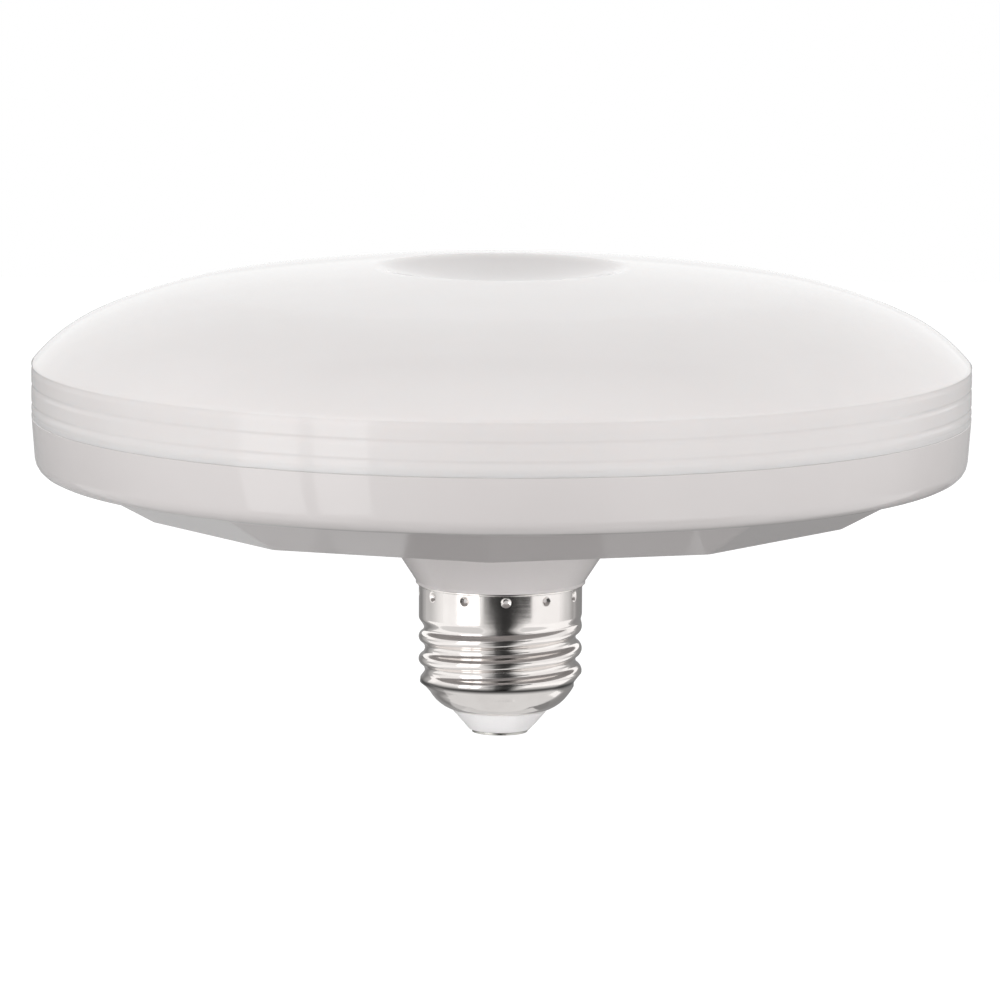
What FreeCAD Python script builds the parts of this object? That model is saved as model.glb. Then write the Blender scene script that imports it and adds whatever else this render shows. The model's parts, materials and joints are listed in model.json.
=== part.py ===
import FreeCAD, Part
import math
import os

# Flat disc LED lamp with an E27 screw cap, cap downwards.
# Millimetres, +Z up along the lamp's axis. The origin is the centre of the end contact's lowest face.

# End contact and insulator
contact_r = 4.5
contact_t = 0.5
nail_r = 1.2
nail_l = 6.8
insulator_h = 3.3
insulator_tip_r = 4.9
insulator_top_z = 5.9
insulator_rim_h = 1.0
insulator_fit = 0.05

# E27 shell: rolled sheet
sheet_t = 0.3
shell_h = 20.45
crest_r = 13.1
thread_depth = 1.0
thread_pitch = 3.629
first_crest_drop = 6.97
bowl_r = 6.2
mouth_r = 7.75
skirt_h = 4.8
skirt_blend_h = 3.1
thread_fade_low = 2.6
thread_fade_h = 1.9
flange_w = 0.2
flange_h = 0.35
crimp_count = 12
crimp_drop = 1.4
crimp_r = 0.8
crimp_depth = 0.5
crimp_turn_deg = 4.0

# Housing
rim_r = 75.0
rim_h = 9.1
rim_draft = 0.7
rim_corner_r = 2.7
wall = 2.0
rim_wall = 2.4
rim_lip_t = 1.4
facet_count = 10
facet_turn_deg = -1.9
ledge_w = 6.0
facet_w = 11.8
facet_h = 6.4
neck_top_r = 20.9
neck_low_r = 13.6
neck_h = 11.2
collar_h = 0.45
post_fit = 0.1
post_wall = 1.3
crimp_groove_h = 2.4
crimp_groove_depth = 0.6
seat_rib_count = 10
seat_rib_w = 3.0
seat_rib_t = 1.2
boss_r = 3.2
rail_t = 1.0
rail_depth = 1.3
rail_fit = 0.1
slit_h = 1.7
slit_w = 1.6
overrun = 1.0

# Diffuser
diffuser_t = 1.8
rib_h = 3.3
rib_count = 2
groove_depth = 0.2
lip_h = 1.8
shoulder_r = 25.8
haunch_r = 67.0
crown_r = 335.0
shoulder_w = 9.0
haunch_w = 19.0
dimple_r = 20.0
dimple_depth = 3.0
dimple_roll_r = 5.0
tongue_t = 1.4
tongue_fit = 0.15
tongue_gap = 0.2
snap_count = 6
snap_w = 8.0
snap_h = 1.0
snap_depth = 0.35
snap_land = 0.2
snap_fit = 0.15

# Heat spreader and LED board
spreader_drop = 4.5
spreader_t = 1.5
spreader_fit = 0.2
spreader_hole_r = 6.0
board_edge_w = 13.0
board_t = 1.0
board_hole_r = 5.0
led_w = 3.0
led_l = 3.0
led_t = 0.7
led_window = 2.2
led_window_depth = 0.15
led_edge_w = 10.0
outer_ring_count = 16
inner_ring_share = 0.54
inner_ring_count = 8
screw_count = 3
screw_turn_deg = 90.0
screw_shank_r = 1.4
screw_l = 7.5
screw_head_r = 2.8
screw_head_h = 1.7
screw_crown_r = 1.7
screw_recess_r = 1.2
screw_recess_w = 0.6
screw_recess_depth = 1.0
screw_fit = 0.05
terminal_w = 6.0
terminal_l = 6.0
terminal_h = 4.0
terminal_x = 10.0
terminal_entry_h = 2.2
terminal_pole = 2.6

# Driver board and what is on it
driver_t = 1.6
driver_y = -2.0
driver_foot_gap = 3.0
driver_head_w = 34.0
driver_head_h = 8.0
driver_side_fit = 0.25
can_dent_share = 0.12
can_dent_height = 0.45
bulk_cap_r = 4.0
bulk_cap_l = 12.5
bulk_cap_x = 1.5
output_cap_r = 3.1
output_cap_l = 11.0
output_cap_x = 0.0
film_cap_w = 7.2
film_cap_h = 6.5
film_cap_t = 4.0
film_cap_x = -12.4
film_cap_edge_r = 0.5
inductor_r = 4.0
inductor_l = 8.5
inductor_hub_r = 1.8
inductor_flange_t = 1.0
inductor_x = 11.5
winding_fit = 0.1
winding_recess = 0.33
rectifier_w = 4.8
rectifier_h = 3.9
rectifier_t = 2.4
chip_w = 4.9
chip_h = 3.9
chip_t = 1.5
chip_drop = 8.0
fuse_r = 1.3
fuse_l = 6.0
fuse_leg_x = 4.6
leg_w = 0.5
leg_drop = 0.9
component_gap = 0.3
chip_leg_x = 1.4
chip_lift = 0.2

# Leads
mains_lead_r = 0.6
led_lead_r = 0.5
lead_bend_r = 1.0
live_pad_x = 5.5
neutral_pad_x = -5.5
pad_rise = 2.2
led_pad_x = 1.6
led_pad_drop = 4.0

# Heights worked out from the sizes above
shell_low_z = contact_t + insulator_h
shell_top_z = shell_low_z + shell_h
root_r = crest_r - thread_depth
bowl_x = root_r - bowl_r
bowl_end_angle = math.acos((mouth_r - bowl_x) / bowl_r)
bowl_z = shell_low_z + bowl_r * math.sin(bowl_end_angle)
skirt_low_z = shell_top_z - skirt_h
crest_z = shell_top_z - first_crest_drop
neck_low_z = shell_top_z + collar_h
floor_z = neck_low_z + neck_h
corner_z = floor_z + facet_h
seam_z = corner_z + rim_h
spreader_z = seam_z - spreader_drop
board_z = spreader_z + spreader_t
board_top_z = board_z + board_t
post_end_z = bowl_z + post_fit
post_r = root_r - sheet_t - post_fit
post_skirt_r = crest_r - sheet_t - post_fit
bore_r = post_r - post_wall
facet_top_r = rim_r - ledge_w
facet_low_r = facet_top_r - facet_w
haunch_edge_r = rim_r - shoulder_w
crown_edge_r = haunch_edge_r - haunch_w
rim_inner_r = rim_r - rim_wall
rim_lip_r = rim_r - rim_lip_t
board_r = rim_r - board_edge_w
outer_ring_r = board_r - led_edge_w
inner_ring_r = outer_ring_r * inner_ring_share
screw_ring_r = (outer_ring_r + inner_ring_r) / 2
pan_z = floor_z + wall
driver_foot_z = post_end_z + driver_foot_gap
driver_front_y = driver_y + driver_t / 2
driver_back_y = driver_y - driver_t / 2
driver_head_z = pan_z + driver_head_h / 2
bulk_cap_z = driver_head_z - output_cap_r - component_gap - bulk_cap_l
rectifier_z = bulk_cap_z - leg_drop - component_gap - leg_w - rectifier_h
fuse_z = rectifier_z - leg_w - component_gap - fuse_r
chip_z = pan_z - chip_drop

AXIS = FreeCAD.Vector(0, 0, 1)
ORIGIN = FreeCAD.Vector(0, 0, 0)


def at(x, y, z):
    return FreeCAD.Vector(x, y, z)


def side(r, z):
    return FreeCAD.Vector(r, 0, z)


def on_circle(centre, radius, direction_deg):
    a = math.radians(direction_deg)
    return side(centre[0] + radius * math.cos(a), centre[1] + radius * math.sin(a))


def line(p, q):
    return Part.LineSegment(p, q).toShape()


def arc(centre, radius, from_deg, to_deg):
    middle = (from_deg + to_deg) / 2
    ends = [on_circle(centre, radius, a) for a in (from_deg, middle, to_deg)]
    return Part.Arc(*ends).toShape()


def lines(points):
    return [line(p, q) for p, q in zip(points, points[1:])]


def turned(edges):
    """Solid turned about the lamp's axis from a closed outline in the XZ plane."""
    wire = Part.Wire(Part.sortEdges(edges)[0])
    return Part.Face(wire).revolve(ORIGIN, AXIS, 360)


def turned_points(points):
    return turned(lines(points + [points[0]]))


def rod(radius, start, end):
    run = end - start
    return Part.makeCylinder(radius, run.Length, start, run)


def block(x, y, z, w, d, h):
    """Box w by d by h, centred on x and y, standing on z."""
    return Part.makeBox(w, d, h, at(x - w / 2, y - d / 2, z))


def spun(shape, turn_deg):
    copy = shape.copy()
    copy.rotate(ORIGIN, AXIS, turn_deg)
    return copy


def around(shape, count, first_deg=0.0):
    return [spun(shape, first_deg + i * 360.0 / count) for i in range(count)]


def smooth(value, low, high):
    s = min(max((value - low) / (high - low), 0.0), 1.0)
    return s * s * (3 - 2 * s)


# E27 shell
def knuckle(shift):
    """Rolled thread section, 1 on a crest and 0 in a root: two tangent arcs of one radius."""
    quarter = thread_pitch / 4
    radius = (quarter ** 2 + thread_depth ** 2 / 4) / thread_depth
    off = abs((shift + 0.5) % 1.0 - 0.5) * thread_pitch
    if off <= quarter:
        fall = radius - math.sqrt(radius ** 2 - off ** 2)
        return 1 - fall / thread_depth
    rise = radius - math.sqrt(radius ** 2 - (2 * quarter - off) ** 2)
    return rise / thread_depth


def thread_lift(z, turn):
    """How far the rolled thread stands out from its root at a height and a share of a turn."""
    wave = knuckle((z - crest_z) / thread_pitch - turn)
    into_skirt = smooth(z, skirt_low_z - skirt_blend_h, skirt_low_z)
    fade_z = shell_low_z + thread_fade_low
    from_bowl = smooth(z, fade_z, fade_z + thread_fade_h)
    return thread_depth * (wave + (1 - wave) * into_skirt) * from_bowl


def shell_rows():
    """Root radius and height of each row of the shell's wall, from its mouth up."""
    bowl_rows = 8
    for i in range(bowl_rows):
        a = bowl_end_angle * (1 - i / bowl_rows)
        yield bowl_x + bowl_r * math.cos(a), bowl_z - bowl_r * math.sin(a)
    wall_h = shell_top_z - bowl_z
    wall_rows = round(wall_h / (thread_pitch / 9))
    for i in range(wall_rows + 1):
        yield root_r, bowl_z + wall_h * i / wall_rows


def shell_section(turn, inset):
    """Section of the rolled sheet at a share of a turn, moved in at right angles to itself."""
    outer = [(base + thread_lift(z, turn), z) for base, z in shell_rows()]
    below = [outer[0]] + outer[:-1]
    above = outer[1:] + [outer[-1]]
    points = []
    for (r, z), (r0, z0), (r1, z1) in zip(outer, below, above):
        run = math.hypot(r1 - r0, z1 - z0)
        points.append((r - inset * (z1 - z0) / run, z + inset * (r1 - r0) / run))
    return points


def shell_wall(inset):
    """The shell's rolled wall as one smooth surface, closed midway between two crimps."""
    steps = 36
    seam = (crimp_turn_deg + 180 / crimp_count) / 360
    columns = []
    for k in range(steps + 1):
        turn = seam + (k % steps) / steps
        a = 2 * math.pi * turn
        columns.append([at(r * math.cos(a), r * math.sin(a), z)
                        for r, z in shell_section(turn, inset)])
    surface = Part.BSplineSurface()
    surface.interpolate([list(row) for row in zip(*columns)])
    return surface.toShape()


def end_ring(face, upper):
    rings = [e for e in face.Edges if e.BoundBox.ZLength < 1e-4]
    rings.sort(key=lambda e: e.BoundBox.ZMin)
    return rings[-1] if upper else rings[0]


def crimp_ball(thickness):
    """Ball whose cap is one punch mark in the skirt, grown by a thickness of sheet."""
    ball_r = (crimp_r ** 2 + crimp_depth ** 2) / (2 * crimp_depth)
    centre = at(crest_r + ball_r - crimp_depth, 0, shell_top_z - crimp_drop)
    return Part.makeSphere(ball_r + thickness, centre)


def make_cap_shell():
    outer = shell_wall(0)
    inner = shell_wall(sheet_t)
    mouth = Part.makeRuledSurface(end_ring(outer, False), end_ring(inner, False))
    brim = Part.makeRuledSurface(end_ring(outer, True), end_ring(inner, True))
    skin = Part.makeShell([outer, inner, mouth, brim])
    skin.sewShape()
    shell = Part.Solid(skin)
    if shell.Volume < 0:
        shell.reverse()
    inside = Part.makeCylinder(crest_r - sheet_t / 2, shell_h, at(0, 0, shell_low_z))
    bump = crimp_ball(sheet_t).common(inside)
    first_deg = crimp_turn_deg - 90
    shell = shell.fuse(around(bump, crimp_count, first_deg))
    shell = shell.cut(around(crimp_ball(0), crimp_count, first_deg))
    flange = Part.makeCylinder(crest_r + flange_w, flange_h, at(0, 0, shell_top_z - flange_h))
    return shell.fuse(flange.cut(inside))


# Insulator and contact
def make_cap_insulator():
    inner_arc = bowl_r - sheet_t - insulator_fit
    centre = (bowl_x, bowl_z)
    low_angle = -math.degrees(bowl_end_angle)
    high_angle = -math.degrees(math.asin(min((bowl_z - insulator_top_z + insulator_rim_h) / inner_arc, 0.99)))
    foot = on_circle(centre, inner_arc, low_angle)
    edge = on_circle(centre, inner_arc, high_angle)
    neck_r = foot.x - insulator_fit
    bore = nail_r + insulator_fit
    outline = lines([
        foot, side(neck_r, foot.z), side(neck_r, shell_low_z - insulator_fit),
        side(mouth_r, shell_low_z - insulator_fit), side(insulator_tip_r, contact_t),
        side(bore, contact_t), side(bore, insulator_top_z), side(edge.x, insulator_top_z), edge])
    return turned(outline + [arc(centre, inner_arc, low_angle, high_angle)])


def make_end_contact():
    disc = Part.makeCylinder(contact_r, contact_t)
    nail = Part.makeCylinder(nail_r, nail_l, at(0, 0, contact_t))
    return disc.fuse(nail).removeSplitter()


# Housing
def polygon(radius, z):
    step = 2 * math.pi / facet_count
    turn = math.radians(facet_turn_deg - 90)
    points = [at(radius * math.cos(turn + i * step), radius * math.sin(turn + i * step), z)
              for i in range(facet_count)]
    return Part.makePolygon(points + [points[0]])


def facetted(top_r, top_z, low_r, low_z):
    return Part.makeLoft([polygon(low_r, low_z), polygon(top_r, top_z)], True, True)


def rim_outline():
    """Rim section from the axis out and up, with its drafted wall and rounded lower corner."""
    wall_r = rim_r - rim_draft
    centre = (wall_r - rim_corner_r, corner_z + rim_corner_r)
    corner = arc(centre, rim_corner_r, -90, 0)
    return [line(side(0, corner_z), side(centre[0], corner_z)), corner] + lines([
        side(wall_r, centre[1]), side(rim_r, seam_z), side(0, seam_z), side(0, corner_z)])


def neck_solid():
    return turned_points([
        side(0, post_end_z), side(post_r, post_end_z), side(post_r, skirt_low_z + post_fit),
        side(post_skirt_r, skirt_low_z + post_fit), side(post_skirt_r, shell_top_z),
        side(neck_low_r, shell_top_z), side(neck_low_r, neck_low_z),
        side(neck_top_r, floor_z), side(0, floor_z)])


def housing_cavity():
    slope = (neck_top_r - neck_low_r) / neck_h
    neck_wall = wall * math.sqrt(1 + slope ** 2)
    bore_z = neck_low_z + (bore_r + neck_wall - neck_low_r) / slope
    pan_r = neck_low_r + (pan_z - neck_low_z) * slope - neck_wall
    neck = turned_points([
        side(0, post_end_z - overrun), side(bore_r, post_end_z - overrun), side(bore_r, bore_z),
        side(pan_r, pan_z), side(0, pan_z)])
    apothem = math.cos(math.pi / facet_count)
    rise = (facet_top_r - facet_low_r) * apothem / facet_h
    inward = wall * math.sqrt(1 + rise ** 2)
    ledge_z = corner_z + wall
    low_r = facet_low_r + (wall * rise - inward) / apothem
    top_r = low_r + (ledge_z - pan_z) * rise / apothem
    pan = facetted(top_r, ledge_z, low_r, pan_z)
    rim = Part.makeCylinder(rim_inner_r, rim_h, at(0, 0, ledge_z))
    rebate = Part.makeCylinder(rim_lip_r, rim_h, at(0, 0, board_z))
    return neck.fuse([pan, rim, rebate])


def board_half_width():
    reach = math.sqrt(bore_r ** 2 - (abs(driver_y) + driver_t / 2) ** 2)
    return reach - driver_side_fit


def board_rails():
    """Four rails in the post's bore, two on each side, that hold the driver board's edges."""
    rails = []
    gap = driver_t / 2 + rail_fit
    tip = board_half_width() - rail_depth
    height = shell_top_z - driver_foot_z
    for way in (-1, 1):
        for y in (driver_y - gap - rail_t, driver_y + gap):
            reach = math.sqrt(bore_r ** 2 - max(abs(y), abs(y + rail_t)) ** 2) + post_wall / 2
            low_x = tip if way > 0 else -reach
            rails.append(Part.makeBox(reach - tip, rail_t, height, at(low_x, y, driver_foot_z)))
    return rails


def seat_ribs():
    rib_low = corner_z + wall
    rib = Part.makeBox(seat_rib_w + rim_wall / 2, seat_rib_t, spreader_z - rib_low,
                       at(rim_inner_r - seat_rib_w, -seat_rib_t / 2, rib_low))
    return around(rib, seat_rib_count, facet_turn_deg)


def screw_places():
    start = screw_turn_deg
    return [start + i * 360.0 / screw_count for i in range(screw_count)]


def make_housing():
    body = turned(rim_outline()).fuse([
        facetted(facet_top_r, corner_z, facet_low_r, floor_z), neck_solid()])
    body = body.cut(housing_cavity())
    boss = Part.makeCylinder(boss_r, spreader_z - floor_z - wall / 2,
                             at(screw_ring_r, 0, floor_z + wall / 2))
    pilot = Part.makeCylinder(screw_shank_r + screw_fit, spreader_z - pan_z,
                              at(screw_ring_r, 0, pan_z))
    bosses = [spun(boss, a) for a in screw_places()]
    body = body.fuse(bosses + seat_ribs() + board_rails())
    groove_z = shell_top_z - crimp_drop - crimp_groove_h / 2
    groove_r = post_skirt_r - crimp_groove_depth
    groove = Part.makeCylinder(crest_r, crimp_groove_h, at(0, 0, groove_z))
    groove = groove.cut(Part.makeCylinder(groove_r, crimp_groove_h, at(0, 0, groove_z)))
    slit = block(-post_r + post_wall / 2, 0, post_end_z - overrun,
                 2 * post_wall, slit_w, slit_h + overrun)
    snap_r = rim_lip_r + snap_depth + snap_fit - tongue_fit
    snap_z = snap_low_z() - snap_fit
    snap_h_all = snap_h + 2 * snap_fit
    snap_groove = Part.makeCylinder(snap_r, snap_h_all, at(0, 0, snap_z))
    snap_groove = snap_groove.cut(Part.makeCylinder(rim_inner_r / 2, snap_h_all, at(0, 0, snap_z)))
    cuts = [groove, slit, snap_groove] + [spun(pilot, a) for a in screw_places()]
    return body.cut(cuts).removeSplitter()


# Diffuser
def snap_low_z():
    return board_z + tongue_gap + snap_fit


def dome_arcs(inset, end_r):
    """Dome outline as tangent arcs, from the dimple's middle out to a radius on the shoulder."""
    rib_top = seam_z + rib_count * rib_h
    crown_a = math.asin(crown_edge_r / crown_r)
    haunch_x = crown_edge_r - haunch_r * math.sin(crown_a)
    haunch_a = math.asin((haunch_edge_r - haunch_x) / haunch_r)
    shoulder_x = haunch_edge_r - shoulder_r * math.sin(haunch_a)
    shoulder_a = math.asin((rim_r - shoulder_x) / shoulder_r)
    shoulder_z = rib_top + lip_h - shoulder_r * math.cos(shoulder_a)
    haunch_z = shoulder_z + (shoulder_r - haunch_r) * math.cos(haunch_a)
    crown_z = haunch_z + (haunch_r - crown_r) * math.cos(crown_a)
    edge_z = crown_z + math.sqrt(crown_r ** 2 - dimple_r ** 2)
    dish_r = (dimple_r ** 2 + dimple_depth ** 2) / (2 * dimple_depth)
    dish_z = edge_z - dimple_depth + dish_r
    far = crown_r - dimple_roll_r
    near = dish_r + dimple_roll_r
    roll_z = (far ** 2 - near ** 2 + dish_z ** 2 - crown_z ** 2) / (2 * (dish_z - crown_z))
    roll_x = math.sqrt(near ** 2 - (roll_z - dish_z) ** 2)
    dish_a = math.degrees(math.atan2(roll_z - dish_z, roll_x))
    roll_a = math.degrees(math.atan2(roll_z - crown_z, roll_x))
    crown_end = 90 - math.degrees(crown_a)
    haunch_end = 90 - math.degrees(haunch_a)
    shoulder_end = math.degrees(math.acos((end_r - shoulder_x) / (shoulder_r - inset)))
    edges = [
        arc((0, dish_z), dish_r + inset, -90, dish_a),
        arc((roll_x, roll_z), dimple_roll_r - inset, dish_a + 180, roll_a),
        arc((0, crown_z), crown_r - inset, roll_a, crown_end),
        arc((haunch_x, haunch_z), haunch_r - inset, crown_end, haunch_end),
        arc((shoulder_x, shoulder_z), shoulder_r - inset, haunch_end, shoulder_end)]
    centre_z = dish_z - dish_r - inset
    end = on_circle((shoulder_x, shoulder_z), shoulder_r - inset, shoulder_end)
    return edges, centre_z, end


def bulge(p, q, height):
    """Arc between two points of one radius that bulges outwards."""
    middle = side(p.x + height, (p.z + q.z) / 2)
    return Part.Arc(p, middle, q).toShape()


def make_diffuser():
    tongue_r = rim_lip_r - tongue_fit
    inside_r = tongue_r - tongue_t
    outer, outer_centre_z, outer_end = dome_arcs(0, rim_r)
    inner, inner_centre_z, inner_end = dome_arcs(diffuser_t, inside_r)
    groove_r = rim_r - groove_depth
    band = [bulge(side(groove_r, seam_z + i * rib_h), side(groove_r, seam_z + (i + 1) * rib_h),
                  groove_depth) for i in range(rib_count)]
    lip_low = side(groove_r, seam_z + rib_count * rib_h)
    lip_turn = side(rim_r, lip_low.z + lip_h / 2)
    lip = Part.Arc(lip_low, side(rim_r - groove_depth / 4, lip_low.z + lip_h / 5), lip_turn).toShape()
    tongue_z = board_z + tongue_gap
    inside = lines([
        inner_end, side(inside_r, tongue_z), side(tongue_r, tongue_z),
        side(tongue_r, seam_z), side(groove_r, seam_z)])
    middle = line(side(0, outer_centre_z), side(0, inner_centre_z))
    shell = turned(outer + inner + band + [lip, line(lip_turn, outer_end), middle] + inside)
    return shell.fuse(snaps(tongue_r))


def snaps(tongue_r):
    """Wedge-shaped hooks on the tongue that click into the rim's groove."""
    z = snap_low_z()
    root = tongue_r - tongue_t / 2
    half = math.degrees(snap_w / 2 / tongue_r)
    outline = [side(root, z), side(tongue_r, z), side(tongue_r + snap_depth, z + snap_h - snap_land),
               side(tongue_r + snap_depth, z + snap_h), side(root, z + snap_h)]
    wire = Part.makePolygon(outline + [outline[0]])
    hook = spun(Part.Face(wire).revolve(ORIGIN, AXIS, 2 * half), -half)
    return around(hook, snap_count)


# Heat spreader, LED board and LEDs
def plate(radius, thickness, z, hole_r):
    disc = Part.makeCylinder(radius, thickness, at(0, 0, z))
    hole = Part.makeCylinder(screw_shank_r + 2 * screw_fit, thickness, at(screw_ring_r, 0, z))
    holes = [spun(hole, a) for a in screw_places()]
    return disc.cut(holes + [Part.makeCylinder(hole_r, thickness, at(0, 0, z))])


def make_heat_spreader():
    return plate(rim_inner_r - spreader_fit, spreader_t, spreader_z, spreader_hole_r)


def make_led_board():
    return plate(board_r, board_t, board_z, board_hole_r)


def make_led(ring_r, turn_deg):
    body = block(ring_r, 0, board_top_z, led_w, led_l, led_t)
    low = block(ring_r, 0, board_top_z + led_t - led_window_depth,
                led_window, led_window, led_window_depth)
    return spun(body.cut(low), turn_deg)


def make_screw(turn_deg):
    head = Part.makeCylinder(screw_head_r, screw_head_h / 2, at(0, 0, board_top_z))
    crown = Part.makeCone(screw_head_r, screw_crown_r, screw_head_h / 2,
                          at(0, 0, board_top_z + screw_head_h / 2))
    shank = Part.makeCylinder(screw_shank_r, screw_l, at(0, 0, board_top_z - screw_l))
    screw = head.fuse([crown, shank]).removeSplitter()
    top = board_top_z + screw_head_h - screw_recess_depth
    arm = 2 * screw_recess_r
    slot = block(0, 0, top, arm, screw_recess_w, screw_recess_depth)
    cross = slot.fuse(block(0, 0, top, screw_recess_w, arm, screw_recess_depth))
    screw = screw.cut(cross)
    screw.translate(at(screw_ring_r, 0, 0))
    return spun(screw, turn_deg)


def make_led_connector():
    body = block(terminal_x, 0, board_top_z, terminal_l, terminal_w, terminal_h)
    entry_z = board_top_z + terminal_entry_h
    entries = []
    for way in (-1, 1):
        start = at(terminal_x - terminal_l / 2, way * terminal_pole / 2, entry_z)
        entries.append(rod(led_lead_r + screw_fit, start, start + at(terminal_l / 2, 0, 0)))
    return body.cut(entries)


# Driver board and its components
def make_driver_board():
    half = board_half_width()
    foot = block(0, driver_y, driver_foot_z, 2 * half, driver_t, pan_z - driver_foot_z)
    head = block(0, driver_y, pan_z, driver_head_w, driver_t, driver_head_h)
    return foot.fuse(head).removeSplitter()


def leg(x, y, z_low, z_high):
    """Square wire leg that hangs from z_high to z_low and turns into the board's front face."""
    drop = block(x, y, z_low, leg_w, leg_w, z_high - z_low)
    reach = y + leg_w / 2 - driver_front_y
    foot = Part.makeBox(leg_w, reach, leg_w, at(x - leg_w / 2, driver_front_y, z_low))
    return drop.fuse(foot)


def can(radius, length):
    """Capacitor can standing on the origin with its rolled-in groove near the foot."""
    dent = radius * can_dent_share
    dent_z = radius * can_dent_height
    return turned_points([
        side(0, 0), side(radius, 0), side(radius, dent_z - dent),
        side(radius - dent, dent_z), side(radius, dent_z + dent),
        side(radius, length - dent), side(radius - dent, length), side(0, length)])


def make_bulk_capacitor():
    body = can(bulk_cap_r, bulk_cap_l)
    y = driver_front_y + bulk_cap_r
    body.translate(at(bulk_cap_x, y, bulk_cap_z))
    places = (bulk_cap_x - bulk_cap_r / 2, bulk_cap_x + bulk_cap_r / 2)
    legs = [leg(x, y, bulk_cap_z - leg_drop, bulk_cap_z + leg_w) for x in places]
    return body.fuse(legs).removeSplitter()


def make_output_capacitor():
    body = can(output_cap_r, output_cap_l)
    body.rotate(ORIGIN, at(0, 1, 0), 90)
    y = driver_front_y + output_cap_r
    body.translate(at(output_cap_x - output_cap_l / 2, y, driver_head_z))
    foot = output_cap_x - output_cap_l / 2
    reach = y + leg_w / 2 - driver_front_y
    parts = []
    for z in (driver_head_z - output_cap_r / 2, driver_head_z + output_cap_r / 2):
        parts.append(block(foot - leg_drop / 2, y, z - leg_w / 2, leg_drop + leg_w, leg_w, leg_w))
        parts.append(block(foot - leg_drop, driver_front_y + reach / 2, z - leg_w / 2,
                           leg_w, reach, leg_w))
    return body.fuse(parts).removeSplitter()


def make_film_capacitor():
    body = block(film_cap_x, driver_front_y + film_cap_t / 2, driver_head_z - film_cap_h / 2,
                 film_cap_w, film_cap_t, film_cap_h)
    upright = [e for e in body.Edges if e.BoundBox.YLength < 1e-6]
    return body.makeFillet(film_cap_edge_r, upright)


def inductor_turned(points):
    part = turned_points(points)
    part.rotate(ORIGIN, at(1, 0, 0), -90)
    part.translate(at(inductor_x, driver_front_y, driver_head_z))
    return part


def make_inductor_core():
    top = inductor_l - inductor_flange_t
    return inductor_turned([
        side(0, 0), side(inductor_r, 0), side(inductor_r, inductor_flange_t),
        side(inductor_hub_r, inductor_flange_t), side(inductor_hub_r, top),
        side(inductor_r, top), side(inductor_r, inductor_l), side(0, inductor_l)])


def make_inductor_winding():
    low = inductor_flange_t + winding_fit
    top = inductor_l - low
    inner = inductor_hub_r + winding_fit
    outer = inductor_r - winding_recess
    return inductor_turned([side(inner, low), side(outer, low), side(outer, top), side(inner, top)])


def chip_with_legs(width, height, thick, z, front):
    face_y = driver_front_y if front else driver_back_y
    way = 1 if front else -1
    y = face_y + way * (thick + chip_lift) / 2
    body = block(0, y, z, width, thick - chip_lift, height)
    feet = []
    for x in (-chip_leg_x, chip_leg_x):
        for foot_z in (z - leg_w, z + height):
            feet.append(block(x, face_y + way * thick / 4, foot_z, leg_w, thick / 2, leg_w))
    return body.fuse(feet)


def make_bridge_rectifier():
    return chip_with_legs(rectifier_w, rectifier_h, rectifier_t, rectifier_z, True)


def make_control_chip():
    return chip_with_legs(chip_w, chip_h, chip_t, chip_z, False)


def make_fuse_resistor():
    y = driver_front_y + fuse_r
    low_z = fuse_z - leg_w / 2
    body = rod(fuse_r, at(-fuse_l / 2, y, fuse_z), at(fuse_l / 2, y, fuse_z))
    parts = [block(0, y, low_z, 2 * fuse_leg_x, leg_w, leg_w)]
    reach = y + leg_w / 2 - driver_front_y
    for x in (-fuse_leg_x, fuse_leg_x):
        parts.append(block(x, driver_front_y + reach / 2, low_z, leg_w, reach, leg_w))
    return body.fuse(parts).removeSplitter()


# Leads
def lead(radius, points):
    """Round wire along straight runs joined by tangent arcs."""
    edges = []
    start = points[0]
    for before, corner, after in zip(points, points[1:], points[2:]):
        into = (corner - before).normalize()
        out = (after - corner).normalize()
        turn = into.getAngle(out)
        cut = lead_bend_r * math.tan(turn / 2)
        p = corner - into * cut
        q = corner + out * cut
        bisector = (out - into).normalize()
        centre = corner + bisector * (lead_bend_r / math.cos(turn / 2))
        middle = centre - bisector * lead_bend_r
        edges.append(line(start, p))
        edges.append(Part.Arc(p, middle, q).toShape())
        start = q
    edges.append(line(start, points[-1]))
    path = Part.Wire(edges)
    ring = Part.Wire(Part.makeCircle(radius, points[0], points[1] - points[0]))
    return path.makePipeShell([ring], True, False)


def make_live_lead():
    y = driver_front_y + mains_lead_r
    nail_top = contact_t + nail_l
    pad_z = driver_foot_z + pad_rise
    middle = (nail_top + driver_foot_z) / 2
    return lead(mains_lead_r, [
        at(0, 0, nail_top), at(0, 0, middle), at(live_pad_x, y, driver_foot_z - mains_lead_r),
        at(live_pad_x, y, pad_z)])


def make_neutral_lead():
    y = driver_front_y + mains_lead_r
    low_z = post_end_z + slit_h / 2
    shell_inner = root_r - sheet_t - insulator_fit
    return lead(mains_lead_r, [
        at(neutral_pad_x, y, driver_foot_z + pad_rise), at(neutral_pad_x, y, low_z),
        at(neutral_pad_x - 2 * lead_bend_r, 0, low_z), at(-shell_inner, 0, low_z)])


def make_led_lead(way):
    y = driver_back_y - led_lead_r
    over_z = board_top_z + terminal_entry_h
    pad_z = pan_z + driver_head_h - led_pad_drop
    entry_y = -way * terminal_pole / 2
    entry_x = terminal_x - terminal_l / 2
    return lead(led_lead_r, [
        at(way * led_pad_x, y, pad_z), at(way * led_pad_x, y, over_z),
        at(entry_x - 2 * lead_bend_r, entry_y, over_z), at(entry_x + terminal_l / 3, entry_y, over_z)])


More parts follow.
